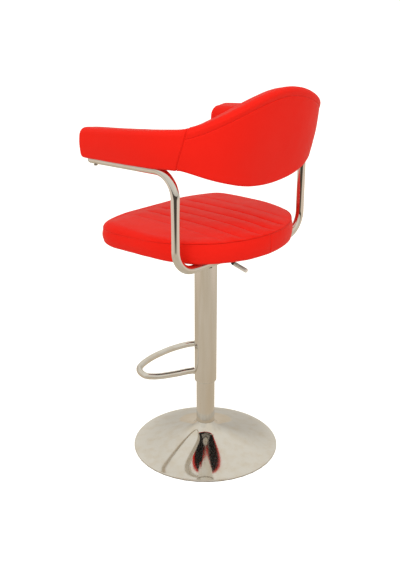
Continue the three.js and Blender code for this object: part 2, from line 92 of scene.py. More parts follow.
FRAME_R = 0.0105
FRAME_X = 0.237
POST_Y = 0.122
CROSSBAR_Z = 0.5965
ARM_RUN_Z = 0.836
ARM_RUN_END = (-0.160, 0.828)
BEND_R = 0.058

SHELL_X = 0.266
SHELL_ARM_END = -0.169
SHELL_BEND_Y = -0.080
SHELL_DEPTH = 0.303
SHELL_ROUND = 3.2
SHELL_MID_Z = 0.860
SHELL_FLARE = 0.195
TOP_SEAM_DROP = 0.021

LEVER_PIVOT = Vector((0.025, 0.030, 0.591))
LEVER_DROOP = 0.24


# ------------------------------------------------------------------ shader helpers

class Nodes:
    """A small builder for one material's node tree."""

    def __init__(self, name):
        self.material = bpy.data.materials.new(name)
        self.material.use_nodes = True
        self.tree = self.material.node_tree
        self.shader = self.tree.nodes["Principled BSDF"]
        coord = self.tree.nodes.new("ShaderNodeTexCoord")
        self.place = coord.outputs["Object"]

    def add(self, kind, inputs=None, **settings):
        node = self.tree.nodes.new(kind)
        for key, value in settings.items():
            setattr(node, key, value)
        for key, value in (inputs or {}).items():
            self.feed(node.inputs[key], value)
        return node

    def feed(self, socket, value):
        if isinstance(value, bpy.types.NodeSocket):
            self.tree.links.new(value, socket)
        else:
            socket.default_value = value

    def noise(self, scale, detail=3.0, rough=0.5, place=None):
        inputs = {"Vector": place or self.place, "Scale": scale, "Detail": detail, "Roughness": rough}
        return self.add("ShaderNodeTexNoise", inputs).outputs["Fac"]

    def cells(self, scale):
        inputs = {"Vector": self.place, "Scale": scale}
        return self.add("ShaderNodeTexVoronoi", inputs).outputs["Distance"]

    def remap(self, value, low, high, start=0.0, stop=1.0):
        inputs = {"Value": value, "From Min": start, "From Max": stop, "To Min": low, "To Max": high}
        return self.add("ShaderNodeMapRange", inputs).outputs["Result"]

    def math(self, operation, a, b):
        node = self.add("ShaderNodeMath", operation=operation)
        self.feed(node.inputs[0], a)
        self.feed(node.inputs[1], b)
        return node.outputs["Value"]

    def mix(self, factor, a, b):
        node = self.add("ShaderNodeMix", data_type="RGBA")
        self.feed(node.inputs["Factor"], factor)
        self.feed(node.inputs[6], a)
        self.feed(node.inputs[7], b)
        return node.outputs[2]

    def stretched(self, scale):
        inputs = {"Vector": self.place, "Scale": scale}
        return self.add("ShaderNodeMapping", inputs).outputs["Vector"]

    def attribute(self, name):
        return self.add("ShaderNodeAttribute", attribute_name=name).outputs["Fac"]

    def bump(self, height, distance, strength=1.0, normal=None):
        inputs = {"Height": height, "Distance": distance, "Strength": strength}
        if normal:
            inputs["Normal"] = normal
        return self.add("ShaderNodeBump", inputs).outputs["Normal"]

    def set(self, **values):
        names = {"colour": "Base Color", "rough": "Roughness", "metal": "Metallic", "normal": "Normal"}
        for key, value in values.items():
            self.feed(self.shader.inputs[names.get(key, key)], value)
        return self

    def option(self, name, value):
        self.shader.inputs[name].default_value = value
        return self


def rgba(r, g, b):
    return (r, g, b, 1.0)


# ------------------------------------------------------------------ materials

def leatherette():
    m = Nodes("red_leatherette")
    cloud = m.noise(9.0, 4.0)
    fine = m.noise(160.0, 3.0)
    painted_seam_shade = m.attribute("painted_seam_shade")
    red = m.mix(cloud, rgba(0.88, 0.012, 0.005), rgba(0.94, 0.016, 0.007))
    red = m.mix(m.remap(fine, 0.0, 0.16), red, rgba(0.83, 0.010, 0.004))
    # Painted shade: the red darkens along the seam and channel grooves.
    red = m.mix(m.remap(painted_seam_shade, 0.0, 0.22), red, rgba(0.50, 0.005, 0.003))
    grain = m.cells(620.0)
    pores = m.noise(1500.0, 2.0)
    height = m.math("ADD", m.math("MULTIPLY", grain, 0.8), m.math("MULTIPLY", pores, 0.3))
    pull = m.noise(38.0, 2.0)
    soft = m.bump(pull, 0.0009, 0.35)
    m.set(colour=red, rough=m.remap(m.noise(45.0, 4.0), 0.40, 0.52))
    m.set(normal=m.bump(height, 0.00025, 0.5, soft))
    m.option("Specular IOR Level", 0.12)
    return m.material


def chrome():
    m = Nodes("chrome")
    smudge = m.noise(7.0, 5.0, 0.6)
    dust = m.noise(420.0, 2.0)
    tone = m.mix(smudge, rgba(0.76, 0.745, 0.715), rgba(0.81, 0.795, 0.77))
    # Painted reflection: vertical brownish streaks in the chrome's colour stand in for reflected bands
    # of the studio.
    streak = m.noise(34.0, 3.0, 0.5, m.stretched((1.0, 1.0, 0.08)))
    tone = m.mix(m.remap(streak, 0.0, 0.6, 0.44, 0.70), tone, rgba(0.72, 0.655, 0.56))
    rough = m.math("ADD", m.remap(smudge, 0.045, 0.085, 0.35, 0.7), m.remap(dust, 0.0, 0.02))
    m.set(colour=tone, metal=1.0, rough=rough, normal=m.bump(m.noise(26.0, 2.0), 0.0005, 0.05))
    return m.material


def satin():
    m = Nodes("satin_chrome")
    brushed = m.noise(300.0, 3.0, 0.6, m.stretched((1.0, 0.05, 1.0)))
    m.set(colour=m.mix(brushed, rgba(0.78, 0.75, 0.70), rgba(0.88, 0.85, 0.80)), metal=0.25)
    m.set(rough=m.remap(brushed, 0.28, 0.42), normal=m.bump(brushed, 0.0001, 0.3))
    return m.material


def steel():
    m = Nodes("steel")
    streak = m.noise(90.0, 4.0, 0.6, m.stretched((1.0, 1.0, 12.0)))
    m.set(colour=m.mix(streak, rgba(0.33, 0.33, 0.34), rgba(0.52, 0.52, 0.52)), metal=0.95)
    m.set(rough=m.remap(streak, 0.30, 0.50), normal=m.bump(streak, 0.0002, 0.3))
    return m.material


def zinc():
    m = Nodes("zinc")
    spangle = m.cells(260.0)
    m.set(colour=m.mix(spangle, rgba(0.50, 0.50, 0.47), rgba(0.68, 0.67, 0.62)), metal=0.95)
    m.set(rough=m.remap(m.noise(80.0), 0.25, 0.42), normal=m.bump(m.noise(500.0), 0.0001, 0.3))
    return m.material


def rubber():
    m = Nodes("black_rubber")
    speck = m.noise(700.0, 3.0)
    m.set(colour=m.mix(m.noise(30.0), rgba(0.012, 0.012, 0.012), rgba(0.030, 0.029, 0.028)))
    m.set(rough=m.remap(speck, 0.65, 0.85), normal=m.bump(speck, 0.0002, 0.4))
    return m.material


def plastic():
    m = Nodes("black_plastic")
    mould = m.cells(1100.0)
    m.set(colour=m.mix(m.noise(40.0), rgba(0.018, 0.018, 0.019), rgba(0.034, 0.034, 0.035)))
    m.set(rough=m.remap(m.noise(60.0), 0.38, 0.52), normal=m.bump(mould, 0.0001, 0.35))
    return m.material


def plywood():
    m = Nodes("plywood")
    grain = m.noise(60.0, 5.0, 0.6, m.stretched((1.0, 14.0, 1.0)))
    plies = m.add("ShaderNodeTexWave", {"Vector": m.place, "Scale": 110.0, "Distortion": 0.6})
    plies.bands_direction = "Z"
    wood = m.mix(grain, rgba(0.38, 0.23, 0.11), rgba(0.66, 0.46, 0.26))
    m.set(colour=m.mix(m.remap(plies.outputs["Fac"], 0.0, 0.35), wood, rgba(0.30, 0.17, 0.08)))
    m.set(rough=m.remap(grain, 0.6, 0.8), normal=m.bump(grain, 0.0004, 0.4))
    return m.material


def black_cloth():
    m = Nodes("black_cloth")
    warp = m.add("ShaderNodeTexWave", {"Vector": m.place, "Scale": 160.0}).outputs["Fac"]
    weft_node = m.add("ShaderNodeTexWave", {"Vector": m.place, "Scale": 160.0})
    weft_node.bands_direction = "Y"
    weave = m.math("MULTIPLY", warp, weft_node.outputs["Fac"])
    m.set(colour=m.mix(weave, rgba(0.010, 0.010, 0.011), rgba(0.040, 0.040, 0.042)), rough=0.92)
    m.set(normal=m.bump(weave, 0.0004, 0.6))
    return m.material


MATERIALS = {
    "chrome": chrome(),
    "red_leatherette": leatherette(),
    "black_rubber": rubber(),
    "steel": steel(),
    "zinc": zinc(),
    "black_plastic": plastic(),
    "plywood": plywood(),
    "black_cloth": black_cloth(),
}
SATIN = satin()


def dress_cad_nodes():
    """Every CAD node gets its slot's procedural material."""
    slots = {row["node"]: row["material_slot"] for row in frame["record"]["subparts"]}
    for name, node in frame["nodes"].items():
        node.data.materials.clear()
        node.data.materials.append(MATERIALS[slots[name]])


# ------------------------------------------------------------------ mesh helpers

def piece(name, verts, faces, body, slot, replaces=(), sharp=None, material=None, painted_seam_shade=None):
    mesh = bpy.data.meshes.new(name)
    mesh.from_pydata([tuple(v) for v in verts], [], faces)
    mesh.validate()
    mesh.shade_smooth()
    if sharp is not None:
        mesh.set_sharp_from_angle(angle=math.radians(sharp))
    if painted_seam_shade is not None:
        layer = mesh.attributes.new("painted_seam_shade", "FLOAT", "POINT")
        layer.data.foreach_set("value", painted_seam_shade)
    mesh.materials.append(material or MATERIALS[slot])
    obj = bpy.data.objects.new(name, mesh)
    bpy.context.scene.collection.objects.link(obj)
    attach(obj, body)
    if replaces:
        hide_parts(*replaces)
    return obj


def grid_faces(rows, count, closed_rows=False):
    """Quads between rows of count points each, where each row closes on itself."""
    faces = []
    for i in range(rows if closed_rows else rows - 1):
        a, b = i * count, ((i + 1) % rows) * count
        for j in range(count):
            k = (j + 1) % count
            faces.append((a + j, a + k, b + k, b + j))
    return faces


def lathe(name, profile, body, slot, replaces=(), sides=160, sharp=35):
    """A hollow solid of revolution about Z, from a profile that closes on itself."""
    verts = []
    for r, z in profile:
        for k in range(sides):
            turn = 2 * math.pi * k / sides
            verts.append((r * math.cos(turn), r * math.sin(turn), z))
    faces = grid_faces(len(profile), sides, closed_rows=True)
    return piece(name, verts, faces, body, slot, replaces, sharp)


def frames_along(route):
    """A transported frame (point, u, v) at every station of a route."""
    tangents = []
    for i, point in enumerate(route):
        ahead = route[min(i + 1, len(route) - 1)]
        behind = route[max(i - 1, 0)]
        tangents.append((ahead - behind).normalized())
    u = tangents[0].orthogonal().normalized()
    frames = []
    for point, tangent in zip(route, tangents):
        u = (u - tangent * u.dot(tangent)).normalized()
        frames.append((point, u, tangent.cross(u)))
    return frames


def sweep(name, route, radius, body, slot, replaces=(), sides=40, sharp=40, material=None):
    """A round bar along a route; radius is a number or one value per station."""
    radii = radius if isinstance(radius, list) else [radius] * len(route)
    verts = []
    for (point, u, v), r in zip(frames_along(route), radii):
        for k in range(sides):
            turn = 2 * math.pi * k / sides
            verts.append(point + u * (r * math.cos(turn)) + v * (r * math.sin(turn)))
    faces = grid_faces(len(route), sides)
    faces.append(tuple(reversed(range(sides))))
    faces.append(tuple(range(len(verts) - sides, len(verts))))
    return piece(name, verts, faces, body, slot, replaces, sharp, material)


def rounded_route(corners, radius, steps=20):
    """Points along a polyline whose corners are rounded to a radius."""
    points = [corners[0].copy()]
    for before, corner, after in zip(corners, corners[1:], corners[2:]):
        back = (before - corner).normalized()
        ahead = (after - corner).normalized()
        half = back.angle(ahead) / 2
        hub = corner + (back + ahead).normalized() * (radius / math.sin(half))
        start = corner + back * (radius / math.tan(half)) - hub
        stop = corner + ahead * (radius / math.tan(half)) - hub
        for i in range(steps + 1):
            points.append(hub + start.slerp(stop, i / steps).normalized() * radius)
    points.append(corners[-1].copy())
    return points


def smooth_route(points, steps=8):
    """A Catmull-Rom curve through the points."""
    padded = [points[0] * 2 - points[1], *points, points[-1] * 2 - points[-2]]
    route = []
    for p0, p1, p2, p3 in zip(padded, padded[1:], padded[2:], padded[3:]):
        for i in range(steps):
            t = i / steps
            route.append(0.5 * (2 * p1 + (p2 - p0) * t + (2 * p0 - 5 * p1 + 4 * p2 - p3) * t * t
                                + (3 * p1 - p0 - 3 * p2 + p3) * t ** 3))
    route.append(points[-1].copy())
    return route


def smoothstep(x):
    x = min(max(x, 0.0), 1.0)
    return x * x * (3 - 2 * x)


def valley(distance, width):
    """1 on a seam line, falling to 0 a few widths away from it."""
    return math.exp(-(distance / width) ** 2)


# ------------------------------------------------------------------ chrome parts

def flare_height(r):
    share = max(BASE_R - r, 0) / (BASE_R - COLUMN_R)
    neck = NECK_RISE * math.exp((COLUMN_R - r) / NECK_REACH)
    return BASE_RIM_Z + BASE_LIP + CONE_RISE * share ** CONE_POWER + neck


def base_dish():
    hole = COLUMN_R + 0.3 * MM
    edge = BASE_R - 2 * MM
    profile = [(BASE_R, BASE_RIM_Z), (BASE_R, BASE_RIM_Z + 1.4 * MM)]
    for k in range(1, 9):
        turn = math.pi / 2 * k / 8
        z = BASE_RIM_Z + 1.4 * MM + 1.7 * MM * math.sin(turn)
        profile.append((edge + 2 * MM * math.cos(turn), z))
    steps = 90
    for i in range(1, steps + 1):
        r = edge - (edge - hole) * (i / steps) ** 0.72
        profile.append((r, flare_height(r)))
    for i in range(24):
        r = hole + (edge - hole - 1 * MM) * (i / 23) ** 1.5
        profile.append((r, flare_height(r + 1 * MM) - BASE_SHEET))
    profile.append((BASE_R - BASE_SHEET, BASE_RIM_Z))
    return lathe("base_dish_shell", profile, "base", "chrome", ["base_dish"], sides=220)


def column_tube():
    low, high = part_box("column_tube")
    inner = COLUMN_R - 2 * MM
    ease = 0.5 * MM
    profile = [
        (inner, low.z), (COLUMN_R, low.z), (COLUMN_R, high.z - ease),
        (COLUMN_R - ease, high.z), (inner, high.z),
    ]
    return lathe("column_tube_chrome", profile, "base", "chrome", ["column_tube"], sides=128)


def cover_tube():
    low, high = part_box("cover_tube")
    inner = COVER_R - 2 * MM
    shoulder = 4 * MM
    profile = [(inner, low.z)]
    for k in range(9):
        turn = math.pi / 2 * k / 8
        r = COVER_R - shoulder * (1 - math.sin(turn))
        profile.append((r, low.z + shoulder * (1 - math.cos(turn))))
    profile += [(COVER_R, high.z), (inner, high.z)]
    return lathe("cover_tube_chrome", profile, "seat", "chrome", ["cover_tube"], sides=128)


def arm_frame_route():
    side = [
        Vector((FRAME_X, *ARM_RUN_END)),
        Vector((FRAME_X, POST_Y, ARM_RUN_Z)),
        Vector((FRAME_X, POST_Y, CROSSBAR_Z)),
    ]
    mirrored = [Vector((-p.x, p.y, p.z)) for p in reversed(side)]
    return rounded_route(side + mirrored, BEND_R, 28)


def footrest():
    """The D-shaped bar; a fillet of weld swells it where each end meets the cover tube."""
    side = [
        (20, -25), (40, -36), (63, -45), (84, -55), (104, -66), (121, -80), (132, -99), (127, -124),
        (112, -144), (90, -156), (62, -164), (31, -169),
    ]
    right = [Vector((x * MM, y * MM, FOOTREST_Z)) for x, y in side]
    left = [Vector((-p.x, p.y, p.z)) for p in reversed(right)]
    route = smooth_route([*right, Vector((0, -0.170, FOOTREST_Z)), *left], 12)
    radii = []
    for point in route:
        from_tube = math.hypot(point.x, point.y) - COVER_R
        radii.append(FOOTREST_R + 2.2 * MM * valley(max(from_tube, 0), 0.0035))
    return sweep("footrest_bar", route, radii, "seat", "chrome", ["footrest_loop"], sides=36)


def lever():
    x, y, z = LEVER_PIVOT

    def reach(distance):
        return Vector((x, y + distance, z - LEVER_DROOP * distance))

    inner = [Vector((0, -0.010, z + 0.004)), Vector((0, 0.006, z + 0.004))]
    bar = rounded_route([*inner, reach(-0.014), reach(0.096)], 0.008, 8)
    sweep("lever_bar", bar, 0.003, "lever", "chrome", ["lever_rod"], sides=24)
    ease = [0.0, 0.0004, 0.001, 0.002]
    starts = [0.0895 + e for e in ease]
    ends = [0.129 - e for e in reversed(ease)]
    radii = [0.0042, 0.0049, 0.0053, 0.0056]
    route = [reach(d) for d in starts + ends]
    radii += radii[::-1]
    grip = ["lever_grip"]
    sweep("lever_grip_sleeve", route, radii, "lever", "chrome", grip, sides=32, material=SATIN)


# ------------------------------------------------------------------ back and arms

def bell(k, reach, power):
    """1 at the middle of the back, easing to 0 where the arms start."""
    return math.cos(math.pi / 2 * min(k / reach, 1)) ** power


def arm_share(k):
    return min((1 - k) / 0.55, 1.0)


def shell_top(k):
    return 0.906 + 0.028 * arm_share(k) + 0.078 * bell(k, 0.455, 1.35)


def shell_bottom(k):
    return 0.834 + 0.008 * arm_share(k) - 0.058 * bell(k, 0.47, 1.1)


def shell_thickness(k):
    return 0.062 - 0.018 * bell(k, 0.6, 1)


def shell_plan(count=720):
    path = [Vector((SHELL_X, SHELL_ARM_END, 0))]
    for i in range(count + 1):
        c, s = math.cos(math.pi * i / count), math.sin(math.pi * i / count)
        shape = abs(c / SHELL_X) ** SHELL_ROUND + abs(s / SHELL_DEPTH) ** SHELL_ROUND
        r = shape ** (-1 / SHELL_ROUND)
        path.append(Vector((r * c, SHELL_BEND_Y + r * s, 0)))
    path.append(Vector((-SHELL_X, SHELL_ARM_END, 0)))
    return path


PLAN = shell_plan()
PLAN_LENGTH = [0.0]
for _a, _b in zip(PLAN, PLAN[1:]):
    PLAN_LENGTH.append(PLAN_LENGTH[-1] + (_b - _a).length)
TOTAL = PLAN_LENGTH[-1]


def along_plan(distance):
    low, high = 0, len(PLAN_LENGTH) - 1
    while high - low > 1:
        mid = (low + high) // 2
        if PLAN_LENGTH[mid] <= distance:
            low = mid
        else:
            high = mid
    share = (distance - PLAN_LENGTH[low]) / (PLAN_LENGTH[high] - PLAN_LENGTH[low])
    return PLAN[low].lerp(PLAN[high], share)


def plan_frame(s):
    """(point, outward direction) of the shell's outer face seen from above."""
    distance = (s + 1) / 2 * TOTAL
    reach = 0.006
    behind = along_plan(max(distance - reach, 0))
    ahead = along_plan(min(distance + reach, TOTAL))
    along = (ahead - behind).normalized()
    return along_plan(min(max(distance, 0), TOTAL)), Vector((along.y, -along.x, 0))


def lean(k, z):
    return SHELL_FLARE * bell(k, 1, 1.5) * (z - SHELL_MID_Z)


def seam_share(z, k):
    """Where the slanted arm seam crosses height z, as a share of the shell's half length."""
    low, high = shell_bottom(k), shell_top(k)
    return 0.482 - 0.050 * (z - low) / (high - low)


INNER_LOW_R, INNER_TOP_R, OUTER_TOP_R, OUTER_LOW_R = 0.014, 0.020, 0.0125, 0.007
INNER_TOP_FALL = 0.003
OUTER_ROWS = [
    0.0145, 0.0165, 0.0182, 0.0193, 0.0201, 0.0207, 0.0213, 0.0219, 0.0227, 0.0238, 0.026, 0.029,
]


def corner(centre, radius, start):
    """A quarter circle of section points (depth, z, normal depth, normal z)."""
    points = []
    for i in range(9):
        turn = start + math.pi / 2 * i / 8
        nd, nz = math.cos(turn), math.sin(turn)
        points.append((centre[0] + radius * nd, centre[1] + radius * nz, nd, nz))
    return points


def section(k, cap):
    """One closed loop of section points round the shell, starting at its inner lower corner."""
    top, bottom = shell_top(k) - cap[0], shell_bottom(k) + cap[1]
    near, far = cap[2], shell_thickness(k) - cap[2]
    loop = corner((far - INNER_LOW_R, bottom + INNER_LOW_R), INNER_LOW_R, -math.pi / 2)
    low, high = bottom + INNER_LOW_R, top - INNER_TOP_FALL - INNER_TOP_R
    for i in range(1, 26):
        loop.append((far, low + (high - low) * i / 26, 1.0, 0.0))
    loop += corner((far - INNER_TOP_R, high), INNER_TOP_R, 0.0)
    start, stop = far - INNER_TOP_R, near + OUTER_TOP_R
    for i in range(1, 5):
        z = top - INNER_TOP_FALL * (1 - smoothstep(i / 5))
        loop.append((start + (stop - start) * i / 5, z, 0.0, 1.0))
    loop += corner((near + OUTER_TOP_R, top - OUTER_TOP_R), OUTER_TOP_R, math.pi / 2)
    loop += [(near, top - drop, -1.0, 0.0) for drop in OUTER_ROWS]
    high, low = top - OUTER_ROWS[-1], bottom + OUTER_LOW_R
    for i in range(1, 22):
        loop.append((near, high + (low - high) * i / 22, -1.0, 0.0))
    loop += corner((near + OUTER_LOW_R, low), OUTER_LOW_R, math.pi)
    start, stop = near + OUTER_LOW_R, far - INNER_LOW_R
    for i in range(1, 6):
        loop.append((start + (stop - start) * i / 6, bottom, 0.0, -1.0))
    return loop


def shell_stations():
    """(s, cap) pairs, denser at the slanted seams and rounded at the front ends of the arms."""
    half = []
    top_r, low_r, side_r = 0.012, 0.012, 0.008
    for i in range(12):
        e = 0.012 * (i / 11) ** 1.5
        cap = []
        for radius in (top_r, low_r, side_r):
            inside = max(radius - e, 0.0)
            cap.append(radius - math.sqrt(radius * radius - inside * inside))
        half.append((1 - 2 * e / TOTAL, cap))
    s = half[-1][0]
    while s > 0:
        dense = 0.415 < s < 0.50
        s -= (0.0011 if dense else 0.006) * 2 / TOTAL
        half.append((max(s, 0.0), [0, 0, 0]))
    return half + [(-a, cap) for a, cap in reversed(half[:-1])]


def shell_height(s, z, nd):
    """(height along the normal, weight of the painted seam shade) at a point of the upholstery."""
    k = abs(s)
    top, bottom = shell_top(k), shell_bottom(k)
    to_arm_seam = (k - seam_share(z, k)) * TOTAL / 2
    arm_groove = valley(to_arm_seam, 0.0014)
    on_back = smoothstep(-to_arm_seam / 0.004)
    top_groove = valley(top - z - TOP_SEAM_DROP, 0.0013) * on_back * max(-nd, 0)
    swell = math.sin(math.pi * min(max((z - bottom) / (top - bottom), 0), 1)) ** 1.5
    height = 0.0035 * abs(nd) * swell
    height += 0.0012 * valley(to_arm_seam, 0.014) * (1 - arm_groove)
    height += 0.0014 * valley(top - z - 0.010, 0.008) * on_back
    height -= 0.0015 * arm_groove + 0.0014 * top_groove
    return height, max(arm_groove, 0.7 * top_groove)


def arm_end(verts, ring):
    """Faces that close an arm's front end with a low dome; their points are added to verts."""
    count = len(ring)
    centre = sum((verts[i] for i in ring), Vector()) / count
    faces = []
    previous = list(ring)
    for step in range(1, 7):
        share = 1 - step / 7
        bulge = Vector((0, -0.0022 * (1 - share * share), 0))
        first = len(verts)
        verts += [centre + (verts[i] - centre) * share + bulge for i in ring]
        current = list(range(first, first + count))
        for j in range(count):
            n = (j + 1) % count
            faces.append((previous[j], previous[n], current[n], current[j]))
        previous = current
    faces.append(tuple(previous))
    return faces


def back_and_arms():
    verts, painted_seam_shades = [], []
    stations = shell_stations()
    loops = [section(abs(s), cap) for s, cap in stations]
    count = len(loops[0])
    for (s, _), loop in zip(stations, loops):
        k = abs(s)
        origin, outward = plan_frame(s)
        for depth, z, nd, nz in loop:
            h, painted_seam_shade = shell_height(s, z, nd)
            spot = Vector((s * 3.1, z * 5, depth * 9))
            h += 0.0006 * noise.noise(spot * 2.2) + 0.0003 * noise.noise(spot * 7)
            d, zz = depth + nd * h, z + nz * h
            point = origin + outward * (lean(k, zz) - d)
            point.z = zz
            verts.append(point)
            painted_seam_shades.append(painted_seam_shade)
    faces = grid_faces(len(stations), count)
    last = (len(stations) - 1) * count
    faces += [tuple(reversed(face)) for face in arm_end(verts, range(count))]
    faces += arm_end(verts, range(last, last + count))
    painted_seam_shades += [0.0] * (len(verts) - len(painted_seam_shades))
    shell = piece(
        "back_and_arms", verts, [tuple(reversed(f)) for f in faces], "seat", "red_leatherette",
        ["back_outer_cover", "back_inner_pad"], painted_seam_shade=painted_seam_shades,
    )
    return shell


# ------------------------------------------------------------------ seat cushion

def seat_radius(turn):
    c, s = math.cos(turn), math.sin(turn)
    power, depth = (2.1, SEAT_REAR) if s >= 0 else (5, SEAT_FRONT)
    return (abs(c / SEAT_HALF_W) ** power + abs(s / depth) ** power) ** (-1 / power)


def front_fall(x, y):
    """How far the top has dropped where the cushion rolls over its front edge, most at its corners."""
    depth = 0.0035 + 0.0065 * smoothstep((abs(x) - 0.08) / 0.10)
    return depth * (1 - smoothstep((y + SEAT_FRONT) / 0.080))


def seat_roll(turn):
    """The top edge is rounded more generously along the front and round the rear."""
    y = seat_radius(turn) * math.sin(turn)
    return 0.024 + 0.010 * (1 - smoothstep((y + SEAT_FRONT) / 0.15)) + 0.014 * smoothstep(y / 0.12)


def seam_height(turn):
    """The border seam dips towards the front edge."""
    y = seat_radius(turn) * math.sin(turn)
    return SEAT_SEAM_Z - 0.017 * (1 - smoothstep((y + SEAT_FRONT) / 0.40))


def channel_share(x, y, inset):
    """1 where the channels are full, less at the outer ones, 0 at the seam and outside the panel."""
    share = smoothstep(inset / CHANNEL_FADE)
    share *= 1 - 0.55 * smoothstep((abs(x) - 0.095) / 0.020)
    share *= smoothstep((y + SEAT_FRONT - CHANNEL_START) / 0.040)
    return share * smoothstep((PANEL_HALF_W - abs(x)) / 0.030)


def channel_height(x, y, inset):
    """(height, weight of the painted seam shade) of the sewn channels, which run from front to rear."""
    panel = channel_share(x, y, inset)
    near = abs((x / CHANNEL_PITCH) % 1 - 0.5) * CHANNEL_PITCH
    puff = 1 - (1 - 2 * near / CHANNEL_PITCH) ** 2.2
    groove = valley(near, 0.0017) * panel
    gather = noise.noise(Vector((x * 60, y * 90, 0))) * valley(near, 0.007) * panel
    return panel * CHANNEL_DEPTH * (puff - 0.9) - 0.0012 * groove + 0.0005 * gather, 0.8 * groove


def seat_top_height(x, y, inset, share):
    """(z, weight of the painted seam shade) of the crowned top with its sewn channels."""
    height, painted_seam_shade = channel_height(x, y, inset)
    z = SEAT_CROWN_Z - SEAT_EDGE_FALL * share ** 3 - front_fall(x, y) + height
    z += 0.0010 * noise.noise(Vector((x, y, 0)) * 13) + 0.0003 * noise.noise(Vector((x, y, 3)) * 45)
    return z, painted_seam_shade


def seat_low_edge(turn):
    """The lower edge lifts a little along both sides, hangs at the front and is slightly wavy."""
    r = seat_radius(turn)
    x, y = r * math.cos(turn), r * math.sin(turn)
    side = smoothstep((abs(x) - 0.18) / 0.04) * valley(y - 0.03, 0.09)
    front = 1 - smoothstep((y + SEAT_FRONT) / 0.16)
    return SEAT_LOW + 0.0030 * side - 0.0035 * front + 0.0010 * noise.noise(Vector((x, y, 0)) * 22)


def rear_seam_share(x, y, z):
    """The border's own joint, upright at the middle of the rear."""
    return valley(x, 0.0014) if y > 0 and z < SEAT_SEAM_Z - 0.001 else 0.0


def seat_wall_point(turn, inset, z, painted_seam_shade):
    r = seat_radius(turn) - inset
    x, y = r * math.cos(turn), r * math.sin(turn)
    seam = rear_seam_share(x, y, z)
    spot = Vector((x, y, z))
    pull = 0.0015 * seam
    pull -= 0.0009 * noise.noise(spot * 15) + 0.0003 * noise.noise(spot * 50)
    gather = noise.noise(spot * 110) * valley(z - seam_height(turn), 0.007)
    pull -= 0.0004 * gather
    scale = (r - pull) / r
    # The rear joint adds to the painted seam shade.
    return Vector((x * scale, y * scale, z)), max(painted_seam_shade, seam)


def seat_wall_rows(turns):
    """Rows from the rolled top edge down past the seam, the bulging side and the underside."""
    rows = []
    for i in range(1, 13):
        bend = math.pi / 2 * i / 13
        row = []
        for turn in turns:
            roll, seam = seat_roll(turn), seam_height(turn)
            inner = seat_radius(turn) - roll
            fall = front_fall(inner * math.cos(turn), inner * math.sin(turn))
            top = SEAT_CROWN_Z - SEAT_EDGE_FALL - fall
            inset = roll * (1 - math.sin(bend)) ** 1.1
            r = seat_radius(turn) - inset
            height, painted_seam_shade = channel_height(r * math.cos(turn), r * math.sin(turn), inset)
            z = seam + (top - seam) * math.cos(bend) + height
            row.append(seat_wall_point(turn, inset, z, painted_seam_shade))
        rows.append(row)
    for step in range(-5, 6):
        offset = -step * 0.0006
        notch = valley(offset, 0.0012)
        row = []
        for turn in turns:
            z = seam_height(turn) + offset
            # Painted seam shade along the border seam notch.
            row.append(seat_wall_point(turn, 0.0008 * notch, z, 0.15 * notch))
        rows.append(row)
    for i in range(1, 15):
        share = i / 15
        row = []
        for turn in turns:
            start, stop = seam_height(turn) - 0.003, seat_low_edge(turn) + 0.012
            bulge = -0.0024 * math.sin(math.pi * share) ** 0.8
            row.append(seat_wall_point(turn, bulge, start + (stop - start) * share, 0.0))
        rows.append(row)
    for i in range(9):
        bend = math.pi / 2 * i / 8
        row = []
        for turn in turns:
            z = seat_low_edge(turn) + 0.012 * (1 - math.sin(bend))
            row.append(seat_wall_point(turn, 0.012 * (1 - math.cos(bend)), z, 0.0))
        rows.append(row)
    for inset in (0.016, 0.021):
        rows.append([seat_wall_point(turn, inset, seat_low_edge(turn) + 0.0002, 0.0) for turn in turns])
    rows.append([seat_wall_point(turn, 0.0215, SEAT_LOW + 0.0135, 0.0) for turn in turns])
    return rows


def seat_cushion():
    sides, steps = 840, 104
    turns = [2 * math.pi * j / sides for j in range(sides)]
    rows = []
    for i in range(1, steps + 1):
        share = (i / steps) ** 0.85
        row = []
        for turn in turns:
            r = (seat_radius(turn) - seat_roll(turn)) * share
            x, y = r * math.cos(turn), r * math.sin(turn)
            z, painted_seam_shade = seat_top_height(x, y, seat_radius(turn) - r, share)
            row.append((Vector((x, y, z)), painted_seam_shade))
        rows.append(row)
    rows += seat_wall_rows(turns)
    verts = [point for row in rows for point, _ in row]
    painted_seam_shades = [painted_seam_shade for row in rows for _, painted_seam_shade in row]
    faces = [tuple(reversed(f)) for f in grid_faces(len(rows), sides)]
    top, under = len(verts), len(verts) + 1
    verts += [Vector((0, 0, SEAT_CROWN_Z)), Vector((0, 0, SEAT_LOW + 0.0135))]
    painted_seam_shades += [0.0, 0.0]
    last = (len(rows) - 1) * sides
    for j in range(sides):
        nxt = (j + 1) % sides
        faces.append((top, j, nxt))
        faces.append((under, last + nxt, last + j))
    cushion = piece(
        "seat_cushion_cover", verts, faces, "seat", "red_leatherette", ["seat_cushion"], painted_seam_shade=painted_seam_shades,
    )
    return cushion


# ------------------------------------------------------------------ stage, light and camera

CAMERA_FROM_AXIS = 2.127
CAMERA_AZIMUTH = math.radians(132.19)
CAMERA_HEIGHT = 1.2765
CAMERA_PITCH = 0.360
CAMERA_YAW = math.radians(-0.4114)
LENS = 54.41


def camera():
    data = bpy.data.cameras.new("camera")
    data.lens = LENS
    data.sensor_width = 36.0
    data.clip_end = 200.0
    obj = bpy.data.objects.new("camera", data)
    bpy.context.scene.collection.objects.link(obj)
    sin, cos = math.sin(CAMERA_AZIMUTH), math.cos(CAMERA_AZIMUTH)
    obj.location = (CAMERA_FROM_AXIS * sin, -CAMERA_FROM_AXIS * cos, CAMERA_HEIGHT)
    ahead, right = Vector((-sin, cos, 0)), Vector((cos, sin, 0))
    level = ahead * math.cos(CAMERA_YAW) + right * math.sin(CAMERA_YAW)
    aim = level * math.cos(CAMERA_PITCH) + Vector((0, 0, -math.sin(CAMERA_PITCH)))
    obj.rotation_mode = "QUATERNION"
    obj.rotation_quaternion = aim.to_track_quat("-Z", "Y")
    bpy.context.scene.camera = obj


